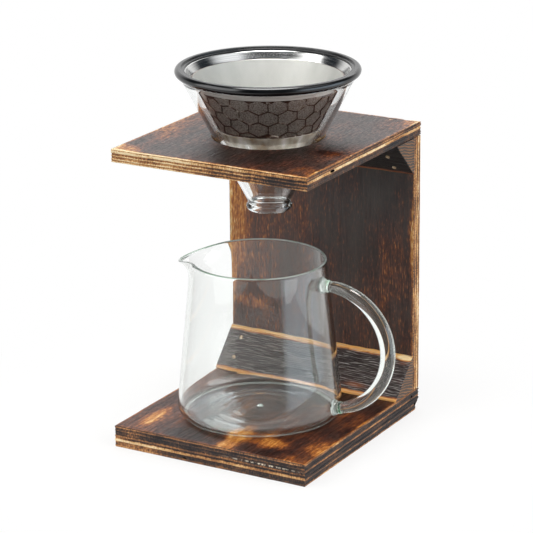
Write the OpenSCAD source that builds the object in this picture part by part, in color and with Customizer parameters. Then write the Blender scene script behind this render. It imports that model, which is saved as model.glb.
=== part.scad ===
// Pour-over dripper stand: a scorched plywood stand that holds a glass cone dripper, with a steel
// honeycomb filter in it, over a blown glass jug. The origin is the middle of the base's underside,
// +X runs along the front edge, the front faces -Y and +Z is up.

/* [Stand] */
// Width of the base, back board and shelf
stand_w = 142; // [125:1:180]
// Depth of the base, front edge to rear face
base_d = 157; // [150:1:200]
// Depth of the shelf, front edge to rear face
shelf_d = 152; // [135:1:190]
// Height of the shelf's top face above the table
stand_h = 200; // [190:1:240]
// Thickness of the base plywood
base_t = 15; // [12:0.5:20]
// Thickness of the back board plywood
back_t = 9; // [8:0.5:15]
// Thickness of the shelf plywood
shelf_t = 9; // [6:0.5:15]
// Chamfer that brushing leaves on the boards' edges
board_ease = 0.6; // [0.2:0.1:1.2]
// Leg of each triangular corner strip
brace_leg = 25; // [18:1:35]
// Width of the blunt flat on a corner strip's thin edges
brace_blunt_w = 1.2; // [0.6:0.1:2.5]

/* [Nails] */
// Diameter of a nail's shank
nail_d = 1.6; // [1.2:0.1:2]
// Diameter of a nail's head
nail_head_d = 2.7; // [2.2:0.1:4.2]
// Thickness of a nail's head
nail_head_t = 0.8; // [0.5:0.1:1.2]
// Length of a nail's pointed tip
nail_tip = 2; // [1:0.5:3]
// Clearance all round a nail in its hole
nail_fit = 0.05; // [0.02:0.01:0.1]
// How far a corner strip's nail heads stand proud
nail_proud = 0.3; // [0:0.1:0.5]
// How deep the shelf's and base's nail heads are punched below the face
nail_punch = 0.4; // [0.2:0.1:1]
// Length of a corner strip's nails
brace_nail_l = 18; // [15:1:20]
// Depth of the shelf's and base's nails in the back board
edge_nail_grip = 21; // [15:1:30]
// Distance of a corner strip's nails from its end
brace_nail_inset = 12; // [6:0.5:18]
// Places of the lower strip's two nails, as shares of the way up its slope from the front
lower_nail_shares = [0.29, 0.75];
// Places of the upper strip's two nails, as shares of the way down its slope from the front
upper_nail_shares = [0.41, 0.8];
// Distance of the outer shelf and base nails from the board's side
edge_nail_inset = 20; // [16:1:28]

/* [Dripper] */
// Diameter of the hole in the shelf
hole_d = 72; // [66:0.5:80]
// Chamfer on the hole's upper edge
hole_ease = 0.8; // [0.4:0.1:1.5]
// Outer diameter of the glass cone at its rim
dripper_d = 113; // [105:0.5:125]
// Height of the glass cone, outlet to rim
dripper_h = 89; // [80:0.5:105]
// Thickness of the dripper's glass
dripper_wall = 2.5; // [2:0.1:3.5]
// Outer diameter of the neck above the outlet bead
neck_d = 26.6; // [22:0.2:32]
// Thickness of the bead round the outlet, as a rolled ring
bead_t = 5; // [3:0.5:7]
// How far the bead stands out of the neck
bead_out = 1.5; // [0.5:0.1:2.5]
// Clearance where one loose piece sits on another
seat_gap = 0.3; // [0.1:0.05:0.5]

/* [Filter] */
// Least air between the glass and the honeycomb sleeve, measured level
filter_air = 3.8; // [2.5:0.1:5]
// Thickness of the honeycomb sleeve
sleeve_t = 0.5; // [0.3:0.1:0.8]
// Thickness of the mesh cone
mesh_t = 0.4; // [0.3:0.1:0.8]
// Clearance between the filter's layers
layer_gap = 0.05; // [0.02:0.01:0.1]
// Depth of the filter's bottom below the glass rim
filter_depth = 46; // [38:0.5:52]
// Height of the polished cup at the bottom
cup_h = 13.3; // [9:0.1:18]
// How far the mesh and the sleeve reach down into the cup
cup_lap = 3; // [2:0.5:5]
// Thickness of the cup's and the collar's steel
steel_t = 0.6; // [0.4:0.1:1]
// Depth of the collar's lower edge below the glass rim
skirt_drop = 5; // [3.5:0.1:8]
// Depth of the collar's bend below the glass rim
bend_drop = 1.7; // [1:0.1:3]
// Outer diameter of the black ring
ring_d = 119; // [110:0.5:130]
// Width of the ring's section
ring_w = 6.4; // [5:0.1:8]
// Height of the ring's section
ring_h = 5; // [4:0.1:7]
// Width of the ring's lower inner lip
ring_lip = 2.2; // [1.5:0.1:3]
// Height of the ring's lower inner lip
ring_lip_h = 3.9; // [3.2:0.1:4.6]
// Reach of the collar's flange into the ring
flange_reach = 2.6; // [1.5:0.1:4]
// Least step from the ring's opening in to the collar's bend
collar_step = 1; // [0.5:0.1:3]

/* [Honeycomb] */
// Width of a honeycomb cell between its upright sides
cell_w = 12.2; // [9:0.1:15]
// Height of a honeycomb cell, point to point
cell_h = 12.4; // [9:0.1:16]
// Width of the bars between the cells
bar_w = 0.7; // [0.5:0.1:1.5]
// Direction that the pattern's middle faces, from +X
pattern_turn = -60; // [-180:5:180]
// Half angle of the plain strip at the sleeve's rear seam
seam_angle = 12; // [8:1:25]

/* [Jug] */
// Widest diameter of the jug, just above its heel
jug_d = 108; // [96:1:116]
// Diameter of the jug's rim
jug_rim_d = 88; // [76:1:94]
// Height of the jug
jug_h = 106; // [90:1:115]
// Thickness of the jug's glass
jug_wall = 2; // [1.6:0.1:3]
// Radius of the rounded heel
heel_r = 8; // [5:0.5:12]
// Rise of the bottom at its middle
punt_h = 2.2; // [1:0.1:4]
// Width of the ring that the jug stands on
foot_w = 3; // [2:0.5:5]
// How far the spout is pulled out past the rim
spout_reach = 12; // [6:0.5:16]
// How far the spout's tip droops below the rim
spout_droop = 6; // [0:0.5:8]
// Height of wall that the spout is pulled from
spout_l = 18; // [12:0.5:30]
// Half angle of the rim that the spout takes up
spout_half = 42; // [28:1:55]
// Place of the jug's axis in front of the shelf hole's axis
jug_forward = 14.5; // [5:0.5:20]
// Turn of the jug's handle from +X towards the back
jug_turn = 4; // [-10:1:15]

/* [Jug handle] */
// Radius of the handle's bow, to the middle of the rod
bow_r = 41.2; // [34:0.2:43]
// Height of the bow's middle above the jug's foot
bow_z = 52.5; // [48:0.5:58]
// Distance of the bow's middle from the jug's axis
bow_x = 50; // [46:0.5:54]
// Rod diameter in the middle of the bow
rod_d = 9.8; // [8:0.1:12]
// Rod diameter next to the fused ends
rod_end_d = 7.2; // [6:0.1:9]
// Diameter of the fused ends
fuse_d = 11; // [9:0.1:14]
// Length over which a fused end swells
fuse_l = 5; // [3:0.5:8]

/* [Hidden] */
$fn = 96;
// Overshoot of a cut past the face that it opens
cut_over = 1;
wood_dark = "#4a3120";
wood_warm = "#6b4526";
nail_grey = "#b9b2a4";
glass_tint = [0.8, 0.88, 0.86, 0.4];

// Planes of the stand
rear_y = base_d / 2;
back_front_y = rear_y - back_t;
shelf_under_z = stand_h - shelf_t;
hole_y = rear_y - shelf_d / 2;
hole_r = hole_d / 2;

// The glass cone: its outer radius grows evenly from the neck, above the bead, to the rim
cone_tan = (dripper_d / 2 - neck_d / 2) / (dripper_h - bead_t);
cone_angle = atan(cone_tan);
glass_level = dripper_wall / cos(cone_angle);
function glass_r(h) = neck_d / 2 + (h - bead_t) * cone_tan;
// The cone rests on the lower edge of the hole's chamfer, which sets how high the dripper sits
seat_r = hole_r - seat_gap / cos(cone_angle);
dripper_z = stand_h - hole_ease - (bead_t + (seat_r - neck_d / 2) / cone_tan);

// The filter's cone runs parallel to the glass; heights are counted from the dripper's outlet
sleeve_level = sleeve_t / cos(cone_angle);
mesh_level = mesh_t / cos(cone_angle);
gap_level = layer_gap / cos(cone_angle);
steel_level = steel_t / cos(cone_angle);
bend_h = dripper_h - bend_drop;
ring_low_h = dripper_h + seat_gap;
ring_r = ring_d / 2;
ring_in_r = ring_r - ring_w;
flange_h = ring_low_h + ring_h / 2;
// The collar passes down through the ring, so a narrow ring draws the whole filter in from the glass
collar_level = gap_level + steel_level;
ring_air = glass_r(bend_h) - glass_level + collar_level - (ring_in_r - collar_step);
cone_air = max(filter_air, ring_air);
function sleeve_r(h) = glass_r(h) - glass_level - cone_air;
cup_bottom_h = dripper_h - filter_depth;
cup_top_h = cup_bottom_h + cup_h;
layer_low_h = cup_top_h - cup_lap;
skirt_h = dripper_h - skirt_drop;

// The honeycomb lies on the cone as on a flat sheet that was rolled up
apex_sin = sin(cone_angle);
function slant(h) = sleeve_r(h) / apex_sin;
sheet_low = slant(cup_top_h) + bar_w;
sheet_high = slant(skirt_h) - bar_w;
row_pitch = cell_h * 3 / 4;
first_row = sheet_low + cell_h / 2 - bar_w / 2;
sheet_half = 180 * apex_sin;
rows_down = -ceil(first_row / row_pitch);
rows_up = ceil((sheet_high - first_row) / row_pitch) + 1;
columns = ceil(sheet_high / cell_w) + 1;

// The jug stands on the base, its axis in front of the dripper's
jug_y = hole_y - jug_forward;
jug_rest_gap = 0.05;
jug_z = base_t + jug_rest_gap;
jug_r = jug_d / 2;
rim_r = jug_rim_d / 2;
jug_taper = (jug_r - rim_r) / (jug_h - heel_r);
taper_angle = atan(jug_taper);
lip_round = jug_wall / 2;
function jug_wall_r(z) = jug_r - (z - heel_r) * jug_taper;

// A board with every edge chamfered by hand brushing
module eased_board(size) {
  intersection() {
    linear_extrude(size[2], center = true)
      eased_outline(size[0], size[1]);
    rotate([90, 0, 0])
      linear_extrude(size[1], center = true)
        eased_outline(size[0], size[2]);
    rotate([90, 0, 90])
      linear_extrude(size[0], center = true)
        eased_outline(size[1], size[2]);
  }
}

module eased_outline(w, d) {
  e = board_ease;
  x = w / 2;
  y = d / 2;
  polygon([
    [e - x, -y], [x - e, -y], [x, e - y], [x, y - e],
    [x - e, y], [e - x, y], [-x, y - e], [-x, e - y]
  ]);
}

// A nail along -Z, the top of its head at height proud; grow widens it into the hole that it needs
module nail(length, proud, grow = 0) {
  shank_r = nail_d / 2 + grow;
  translate([0, 0, proud - nail_head_t - grow])
    cylinder(h = nail_head_t + grow + (grow > 0 ? cut_over : 0), r = nail_head_d / 2 + grow);
  translate([0, 0, proud - length + nail_tip])
    cylinder(h = length - nail_tip - nail_head_t / 2, r = shank_r);
  translate([0, 0, proud - length - grow])
    cylinder(h = nail_tip + grow, r1 = 0, r2 = shank_r);
}

// The nails of a corner strip: two near each end, square to its slope. flip is -1 under the shelf
module brace_nail_set(corner_z, flip, shares, grow) {
  slope = brace_leg - brace_blunt_w;
  for (side = [-1, 1], share = shares)
    translate([
      side * (stand_w / 2 - brace_nail_inset),
      back_front_y - brace_leg + share * slope,
      corner_z + flip * (brace_blunt_w + share * slope)
    ])
      rotate([flip > 0 ? 45 : 135, 0, 0])
        nail(brace_nail_l, nail_proud, grow);
}

module lower_nail_set(grow = 0) {
  brace_nail_set(base_t, 1, lower_nail_shares, grow);
}

module upper_nail_set(grow = 0) {
  brace_nail_set(shelf_under_z, -1, upper_nail_shares, grow);
}

// A row of nails along the middle of the back board's edge
module edge_nail_row(length, grow = 0) {
  for (step = [-1 : 1])
    translate([step * (stand_w / 2 - edge_nail_inset), rear_y - back_t / 2, 0])
      nail(length, -nail_punch, grow);
}

module shelf_nail_set(grow = 0) {
  translate([0, 0, stand_h])
    edge_nail_row(shelf_t + edge_nail_grip - nail_punch, grow);
}

module base_nail_set(grow = 0) {
  mirror([0, 0, 1])
    edge_nail_row(base_t + edge_nail_grip - nail_punch, grow);
}

module base_board() {
  color(wood_warm)
    difference() {
      translate([0, 0, base_t / 2])
        eased_board([stand_w, base_d, base_t]);
      base_nail_set(nail_fit);
      lower_nail_set(nail_fit);
    }
}

module back_board() {
  height = shelf_under_z - base_t;
  color(wood_dark)
    difference() {
      translate([0, rear_y - back_t / 2, base_t + height / 2])
        eased_board([stand_w, back_t, height]);
      base_nail_set(nail_fit);
      shelf_nail_set(nail_fit);
      lower_nail_set(nail_fit);
      upper_nail_set(nail_fit);
    }
}

module shelf_board() {
  color(wood_warm)
    difference() {
      translate([0, hole_y, stand_h - shelf_t / 2])
        eased_board([stand_w, shelf_d, shelf_t]);
      translate([0, hole_y, 0]) {
        translate([0, 0, shelf_under_z - cut_over])
          cylinder(h = shelf_t + 2 * cut_over, r = hole_r);
        translate([0, 0, stand_h - hole_ease])
          cylinder(h = hole_ease + cut_over, r1 = hole_r, r2 = hole_r + hole_ease + cut_over);
      }
      shelf_nail_set(nail_fit);
      upper_nail_set(nail_fit);
    }
}

// A triangular strip with blunt thin edges; its square corner lies along X, the legs run to -Y and +Z
module brace_strip() {
  rotate([90, 0, 90])
    linear_extrude(stand_w, center = true)
      polygon([
        [0, 0], [0, brace_leg], [-brace_blunt_w, brace_leg],
        [-brace_leg, brace_blunt_w], [-brace_leg, 0]
      ]);
}

module lower_brace() {
  color(wood_dark)
    difference() {
      translate([0, back_front_y, base_t])
        brace_strip();
      lower_nail_set(nail_fit);
    }
}

module upper_brace() {
  color(wood_dark)
    difference() {
      translate([0, back_front_y, shelf_under_z])
        mirror([0, 0, 1])
          brace_strip();
      upper_nail_set(nail_fit);
    }
}

module lower_brace_nails() {
  color(nail_grey)
    lower_nail_set();
}

module upper_brace_nails() {
  color(nail_grey)
    upper_nail_set();
}

module shelf_nails() {
  color(nail_grey)
    shelf_nail_set();
}

module base_nails() {
  color(nail_grey)
    base_nail_set();
}

// Puts what is drawn from the dripper's outlet upwards at its place in the shelf
module at_dripper() {
  translate([0, hole_y, dripper_z])
    children();
}

// A band that follows the cone from height low to high, between two radius offsets from the sleeve
module cone_band(low, high, out, thick) {
  rotate_extrude()
    polygon([
      [sleeve_r(low) + out - thick, low], [sleeve_r(low) + out, low],
      [sleeve_r(high) + out, high], [sleeve_r(high) + out - thick, high]
    ]);
}

module glass_dripper() {
  rim_round = dripper_wall / 2;
  bead_r = bead_t / 2;
  color(glass_tint)
    at_dripper()
      rotate_extrude()
        difference() {
          union() {
            polygon([
              [glass_r(bead_r) - glass_level, bead_r], [glass_r(bead_r), bead_r],
              [glass_r(dripper_h - rim_round), dripper_h - rim_round],
              [glass_r(dripper_h - rim_round) - glass_level, dripper_h - rim_round]
            ]);
            translate([glass_r(dripper_h - rim_round) - glass_level / 2, dripper_h - rim_round])
              circle(r = rim_round);
            translate([neck_d / 2 + bead_out - bead_r, bead_r])
              circle(r = bead_r);
          }
          // The bore of the outlet
          translate([0, -cut_over])
            square([glass_r(bead_t) - glass_level, bead_t + cut_over]);
        }
}

// Black ring: a round outer bead, a lower inner lip and the groove for the collar's flange
module filter_ring() {
  bead_r = ring_h / 2;
  color("#161616")
    at_dripper()
      rotate_extrude()
        difference() {
          union() {
            translate([ring_r - bead_r, ring_low_h + bead_r])
              circle(r = bead_r);
            translate([ring_in_r, ring_low_h])
              square([ring_w - bead_r, ring_lip_h]);
            translate([ring_in_r + ring_lip, ring_low_h])
              square([ring_w - bead_r - ring_lip, ring_h]);
          }
          translate([ring_in_r - cut_over, flange_h - steel_t / 2 - layer_gap])
            square([flange_reach + cut_over + layer_gap, steel_t + 2 * layer_gap]);
        }
}

// Polished collar: a skirt over the sleeve's top, a flared throat and the flange held in the ring
module filter_collar() {
  throat_r = ring_in_r - layer_gap - steel_t;
  color("#d8d9da")
    at_dripper() {
      cone_band(skirt_h, bend_h, collar_level, steel_level);
      rotate_extrude()
        polygon([
          [sleeve_r(bend_h) + gap_level, bend_h], [sleeve_r(bend_h) + collar_level, bend_h],
          [throat_r + steel_t, flange_h - steel_t / 2],
          [ring_in_r + flange_reach, flange_h - steel_t / 2],
          [ring_in_r + flange_reach, flange_h + steel_t / 2],
          [throat_r, flange_h + steel_t / 2]
        ]);
    }
}

module filter_mesh() {
  color("#b9b6ad")
    at_dripper()
      cone_band(layer_low_h, bend_h, -sleeve_level - gap_level, mesh_level);
}

// One honeycomb window, drawn at the origin along +X, its points up and down the slant
module cell_prism() {
  w = (cell_w - bar_w) / 2;
  h = (cell_h - bar_w) / 2;
  rotate([0, 90, 0])
    linear_extrude(4 * sleeve_t, center = true)
      polygon([[h, 0], [h / 2, w], [-h / 2, w], [-h, 0], [-h / 2, -w], [h / 2, -w]]);
}

// Puts a window at distance s from the cone's tip and angle phi on the rolled sheet
module on_sheet(s, phi) {
  r = s * apex_sin;
  h = bead_t + (r + glass_level + cone_air - neck_d / 2) / cone_tan;
  rotate([0, 0, pattern_turn + phi / apex_sin])
    translate([r, 0, h])
      rotate([0, cone_angle, 0])
        rotate([phi, 0, 0])
          children();
}

// The rolled sheet with its honeycomb windows, cropped at the cup and the collar, plain at the seam
module honeycomb_sleeve() {
  spare = 3 * sleeve_t;
  band_low_h = cup_top_h + bar_w * cos(cone_angle);
  band_high_h = skirt_h - bar_w * cos(cone_angle);
  color("#8d857a")
    at_dripper()
      difference() {
        cone_band(layer_low_h, bend_h, 0, sleeve_level);
        intersection() {
          cone_band(band_low_h, band_high_h, spare, 2 * spare);
          union()
            for (row = [rows_down : rows_up], column = [-columns : columns]) {
              x = first_row + row * row_pitch;
              y = (column + (row % 2 == 0 ? 0.5 : 0)) * cell_w;
              s = sqrt(x * x + y * y);
              phi = atan2(y, x);
              inside = s > sheet_low - cell_h / 4 && s < sheet_high + cell_h / 4;
              if (inside && abs(phi) < sheet_half - seam_angle * apex_sin)
                on_sheet(s, phi)
                  cell_prism();
            }
        }
      }
}

// Polished cup that closes the filter's bottom and holds the lower edges of mesh and sleeve
module filter_cup() {
  color("#d8d9da")
    at_dripper() {
      cone_band(cup_bottom_h, cup_top_h, collar_level, steel_level);
      translate([0, 0, cup_bottom_h])
        cylinder(h = steel_t, r = sleeve_r(cup_bottom_h) + gap_level + steel_level / 2);
    }
}

// Share of the spout's pull at an angle from the spout's middle
function spout_share(a) = abs(a) < spout_half ? pow(cos(90 * a / spout_half), 2) : 0;
function around(a) = a > 180 ? a - 360 : a;

// The jug's section from the middle of its underside, over the lip, to the middle of its floor.
// Each entry is radius, height, and the shares of the spout's reach and droop that it takes.
foot_r = jug_r - heel_r;
floor_r = heel_r - jug_wall;
spout_low = jug_h - spout_l;
heel_steps = 6;
spout_steps = 7;
// Powers that shape the spout: how late it leaves the wall, and how early its lip droops
pull_power = 2.4;
droop_power = 1.6;
// The bottom rises in an arch from the foot ring to its middle
punt_r = foot_r - foot_w;
punt_steps = 4;
function punt_z(r) = punt_h * (1 - pow(r / punt_r, 2));
under_section = [for (i = [0 : punt_steps]) let (r = punt_r * i / punt_steps) [r, punt_z(r), 0, 0]];
heel_section = [
  for (i = [0 : heel_steps])
    let (a = -90 + i * (90 + taper_angle) / heel_steps)
      [foot_r + heel_r * cos(a), heel_r + heel_r * sin(a), 0, 0]
];
outer_section = [
  for (i = [0 : spout_steps])
    let (t = i / spout_steps, z = spout_low + t * (spout_l - lip_round))
      [jug_wall_r(z), z, pow(t, pull_power), pow(t, droop_power)]
];
lip_section = [[rim_r - jug_wall / 2, jug_h, 1, 1]];
inner_section = [
  for (i = [spout_steps : -1 : 0])
    let (t = i / spout_steps, z = spout_low + t * (spout_l - lip_round))
      [jug_wall_r(z) - jug_wall, z, pow(t, pull_power), pow(t, droop_power)]
];
floor_section = [
  for (i = [heel_steps : -1 : 0])
    let (a = -90 + i * (90 + taper_angle) / heel_steps)
      [foot_r + floor_r * cos(a), heel_r + floor_r * sin(a), 0, 0]
];
middle_section = [
  for (i = [punt_steps - 1 : -1 : 0])
    let (r = punt_r * i / punt_steps)
      [r, jug_wall + punt_z(r), 0, 0]
];
jug_section = concat(
  under_section, heel_section, outer_section, lip_section, inner_section, floor_section, middle_section
);
jug_sides = 72;

// Closes a stack of rings of equal count between two single end points into one solid
module ring_stack(first, rings, last) {
  n = len(rings[0]);
  m = len(rings);
  points = concat([first], [for (ring = rings) each ring], [last]);
  end = len(points) - 1;
  polyhedron(points, concat(
    [for (j = [0 : n - 1]) [0, 1 + j, 1 + (j + 1) % n]],
    [
      for (i = [0 : m - 2], j = [0 : n - 1], half = [0, 1])
        let (a = 1 + i * n + j, b = 1 + i * n + (j + 1) % n)
          half == 0 ? [a, a + n, b] : [b, a + n, b + n]
    ],
    [for (j = [0 : n - 1]) [end, end - n + (j + 1) % n, end - n + j]]
  ));
}

// Puts what is drawn in the jug's own frame, its handle towards +X, at its place on the base
module at_jug() {
  translate([0, jug_y, jug_z])
    rotate([0, 0, jug_turn])
      children();
}

module jug_body() {
  last = len(jug_section) - 1;
  color(glass_tint)
    at_jug()
      ring_stack(
        [0, 0, jug_section[0][1]],
        [
          for (i = [1 : last - 1])
            let (s = jug_section[i])
              [
                for (j = [0 : jug_sides - 1])
                  let (
                    a = 360 * j / jug_sides,
                    share = spout_share(around(a)),
                    r = s[0] + s[2] * spout_reach * share,
                    z = s[1] - s[3] * spout_droop * share
                  )
                    [-r * cos(a), -r * sin(a), z]
              ]
        ],
        [0, 0, jug_section[last][1]]
      );
}

// The handle's middle line: a short straight stub at the top, then the bow down to the lower wall
bow_steps = 30;
stub_steps = 3;
rod_sides = 20;
upper_z = bow_z + bow_r;
fuse_gap = 0.05;
upper_wall_x = jug_wall_r(upper_z) + fuse_gap;
bow_end = -acos(max(0, jug_wall_r(bow_z - bow_r) + fuse_gap - bow_x) / bow_r);
stub_l = bow_x - upper_wall_x;
bow_l = bow_r * (90 - bow_end) * PI / 180;
rod_path = concat(
  [
    for (i = [0 : stub_steps - 1])
      let (l = stub_l * i / stub_steps)
        [upper_wall_x + l, upper_z, -90, l]
  ],
  [
    for (i = [0 : bow_steps])
      let (u = i / bow_steps, a = 90 + (bow_end - 90) * u)
        [bow_x + bow_r * cos(a), bow_z + bow_r * sin(a), a - 180, stub_l + bow_l * u]
  ]
);
rod_l = stub_l + bow_l;

// Rod radius at a length along it: slim near the ends, full in the middle, swollen where it is fused
function rod_r(l) =
  let (
    middle = sin(180 * l / rod_l),
    end_share = max(0, 1 - min(l, rod_l - l) / fuse_l)
  )
    (rod_end_d + (rod_d - rod_end_d) * middle) / 2 + (fuse_d - rod_end_d) / 2 * pow(end_share, 2);

// Drops a point of an end ring onto the jug's wall along X
function on_wall(p) = [sqrt(pow(jug_wall_r(p[2]) + fuse_gap, 2) - p[1] * p[1]), p[1], p[2]];

module jug_handle() {
  last = len(rod_path) - 1;
  rings = [
    for (i = [0 : last])
      let (p = rod_path[i], r = rod_r(p[3]))
        [
          for (j = [0 : rod_sides - 1])
            let (
              b = 360 * j / rod_sides,
              q = [p[0] - r * cos(b) * cos(p[2]), r * sin(b), p[1] - r * cos(b) * sin(p[2])]
            )
              i == 0 || i == last ? on_wall(q) : q
        ]
  ];
  color(glass_tint)
    at_jug()
      ring_stack(
        on_wall([0, 0, rod_path[0][1]]), rings, on_wall([0, 0, rod_path[last][1]])
      );
}

base_board();
back_board();
shelf_board();
lower_brace();
upper_brace();
lower_brace_nails();
upper_brace_nails();
shelf_nails();
base_nails();
glass_dripper();
filter_ring();
filter_collar();
filter_mesh();
honeycomb_sleeve();
filter_cup();
jug_body();
jug_handle();
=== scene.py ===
import math
from functools import partial

import bmesh
import bpy
import numpy as np
from mathutils import Matrix, Vector


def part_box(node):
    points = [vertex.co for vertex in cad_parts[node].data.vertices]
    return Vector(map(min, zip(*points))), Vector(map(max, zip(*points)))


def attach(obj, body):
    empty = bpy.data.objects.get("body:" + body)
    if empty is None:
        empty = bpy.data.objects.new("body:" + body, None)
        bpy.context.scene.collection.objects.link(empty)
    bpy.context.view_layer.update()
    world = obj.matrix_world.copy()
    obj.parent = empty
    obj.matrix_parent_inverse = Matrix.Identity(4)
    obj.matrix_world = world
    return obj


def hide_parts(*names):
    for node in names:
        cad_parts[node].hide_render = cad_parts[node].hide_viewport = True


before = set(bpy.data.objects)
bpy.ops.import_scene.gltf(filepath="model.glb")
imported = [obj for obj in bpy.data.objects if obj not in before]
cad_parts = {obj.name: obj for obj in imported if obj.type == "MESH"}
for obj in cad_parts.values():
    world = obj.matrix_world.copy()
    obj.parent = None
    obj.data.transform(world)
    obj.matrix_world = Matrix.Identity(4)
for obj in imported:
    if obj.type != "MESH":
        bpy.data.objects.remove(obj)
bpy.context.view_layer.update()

# Pour-over dripper stand: scorched plywood stand, glass cone dripper with a steel honeycomb filter, blown
# glass jug. Lengths are in mm as in the solids and become metres where a mesh is made.
MM = 0.001
STAND_HALF_W = 71
BASE_FRONT_Y, BASE_TOP = -78.5, 15
BACK_FRONT_Y, REAR_Y = 69.5, 78.5
SHELF_FRONT_Y, SHELF_UNDER, SHELF_TOP = -73.5, 191, 200
BASE_BOX = (-STAND_HALF_W, BASE_FRONT_Y, 0), (STAND_HALF_W, REAR_Y, BASE_TOP)
SHELF_BOX = (-STAND_HALF_W, SHELF_FRONT_Y, SHELF_UNDER), (STAND_HALF_W, REAR_Y, SHELF_TOP)
BACK_BOX = (-STAND_HALF_W, BACK_FRONT_Y, BASE_TOP), (STAND_HALF_W, REAR_Y, SHELF_UNDER)
HOLE_Y, HOLE_R, HOLE_EASE = 2.5, 36, 0.8
STRIP_LEG, STRIP_BLUNT = 25, 1.2
EDGE_NAIL_X, EDGE_NAIL_Y = 51, 74  # nails up and down into the back board's edges
PIT_R, PIT_DEPTH = 1.4, 1.25  # pits over their sunk heads

# The dripper's cone; heights are counted from its outlet
DRIPPER_Z, DRIPPER_H, DRIPPER_WALL = 150.715, 89, 2.5
NECK_R, DRIPPER_RIM_R, BEAD_T, BEAD_OUT = 13.3, 56.5, 5, 1.5
CONE_TAN = (DRIPPER_RIM_R - NECK_R) / (DRIPPER_H - BEAD_T)
CONE_COS = math.cos(math.atan(CONE_TAN))
GLASS_LEVEL = DRIPPER_WALL / CONE_COS  # the cone's wall, measured level

# The filter in the dripper
FILTER_AIR, SLEEVE_T, MESH_T, LAYER_GAP, STEEL_T = 3.8, 0.5, 0.4, 0.05, 0.6
CUP_BOTTOM, CUP_TOP, CUP_LAP = 43, 56.3, 3
SKIRT_H, BEND_H = 84, 87.3
RING_LOW, RING_H, RING_W, RING_R = 89.3, 5, 6.4, 59.5
RING_LIP, RING_LIP_H, FLANGE_REACH = 2.2, 3.9, 2.6
SEAM_WAY = (math.cos(math.radians(120)), math.sin(math.radians(120)), 0)  # the sleeve's seam faces the rear left

# The jug, in its own frame with the handle towards +X
JUG_Y, JUG_Z, JUG_TURN = -12, 15.05, math.radians(4)
JUG_R, JUG_RIM_R, JUG_H, JUG_WALL, HEEL_R = 54, 44, 106, 2, 8
LIP_R, PUNT_H, PUNT_R = JUG_WALL / 2, 2.2, 43
SPOUT_REACH, SPOUT_DROOP, SPOUT_L, SPOUT_HALF = 12, 6, 18, math.radians(42)
PULL_POWER, DROOP_POWER = 2.4, 1.6
FLOOR_RIPPLES = (0.3, 26.5, 2.8), (0.2, 35, 2.4), (0.14, 17, 2.8)  # height, radius and width of each
DROP_R, DROP_H = 2.2, 1.2
BOW_R, BOW_Z, BOW_X = 41.2, 52.5, 50
ROD_END_D, ROD_D, FUSE_D, FUSE_L = 7.2, 9.68, 11, 5
PINCER_MARKS = (0.4, 4.4, 0.9), (-0.2, 6.6, 1.2)  # height, distance from the rod's end and width of each
FUSED_PALE = 0.5  # how far the pale glass reaches from a fused end
ROD_AIR = 0.06  # hair's breadth between rod and wall, so that light isn't caught in the wall

# Sides of turned pieces, and the degrees between two faces from which their shading breaks
FILTER_SIDES, CUP_SIDES, DRIPPER_SIDES, HOLE_SIDES, PIT_SIDES, JUG_SIDES, ROD_SIDES = 256, 192, 224, 192, 24, 288, 44
WOOD_SHARP, FILTER_SHARP, ROD_SHARP = 40, 50, 60


# Materials

def linear(hex_colour):
    """An sRGB hex colour as the linear colour that a shader takes."""
    shares = [int(hex_colour[i:i + 2], 16) / 255 for i in (1, 3, 5)]
    return tuple(c / 12.92 if c <= 0.04045 else ((c + 0.055) / 1.055) ** 2.4 for c in shares) + (1,)


WHITE = linear("#ffffff")
GLASS_IOR = 1.474
COLOURS = {"data_type": "RGBA", "out": 2}  # for a Mix node that mixes colours in its sockets 6 and 7
SOFT = {"interpolation_type": "SMOOTHSTEP"}  # for a Map Range node with soft ends


def add(tree, kind, inputs=(), ramp=None, out=0, **settings):
    """Adds a node; after a dot its kind names an operation. Inputs go by socket, or in a list from the first socket
    on, and each is a value or another node's output. ramp is a Color Ramp's (place, hex) stops."""
    kind, _, operation = kind.partition(".")
    node = tree.nodes.new("ShaderNode" + kind)
    if operation:
        node.operation = operation
    for field, value in settings.items():
        setattr(node, field, value)
    for socket, value in inputs.items() if isinstance(inputs, dict) else enumerate(inputs):
        if isinstance(value, bpy.types.NodeSocket):
            tree.links.new(value, node.inputs[socket])
        else:
            node.inputs[socket].default_value = value
    if ramp:
        stops = node.color_ramp.elements
        stops.remove(stops[1])
        for i, (place, colour) in enumerate(ramp):
            stop = stops[0] if i == 0 else stops.new(place)
            stop.position = place
            stop.color = linear(colour)
    return node.outputs[out] if node.outputs else node


def emptied(owner):
    """Empties the owner's node tree and returns add, bound to it."""
    owner.use_nodes = True
    owner.node_tree.nodes.clear()
    return partial(add, owner.node_tree)


def material(name, finish, *look, tint=None, **more):
    """A material named for the real one. finish adds its pattern, from the place on the piece in mm, look and more,
    and returns the shader's inputs, the Normal as a bump's strength, distance in metres and height. tint is what the
    solid absorbs."""
    made = bpy.data.materials.new(name)
    node = emptied(made)
    mm = node("VectorMath.MULTIPLY", [node("TexCoord", out="Object"), (1 / MM,) * 3])
    inputs = finish(node, mm, *look, **more)
    if "Normal" in inputs:
        inputs["Normal"] = node("Bump", dict(zip(("Strength", "Distance", "Height"), inputs["Normal"])))
    outputs = {"Surface": node("BsdfPrincipled", inputs)}
    if tint:
        outputs["Volume"] = node("VolumeAbsorption", tint)
    node("OutputMaterial", outputs)
    return made


def tone_sum(node, start, *parts):
    """One tone out of several patterns: start, and each pattern times its weight."""
    for pattern, weight in parts:
        start = node("Math.MULTIPLY_ADD", [pattern, weight, start])
    return start


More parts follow.
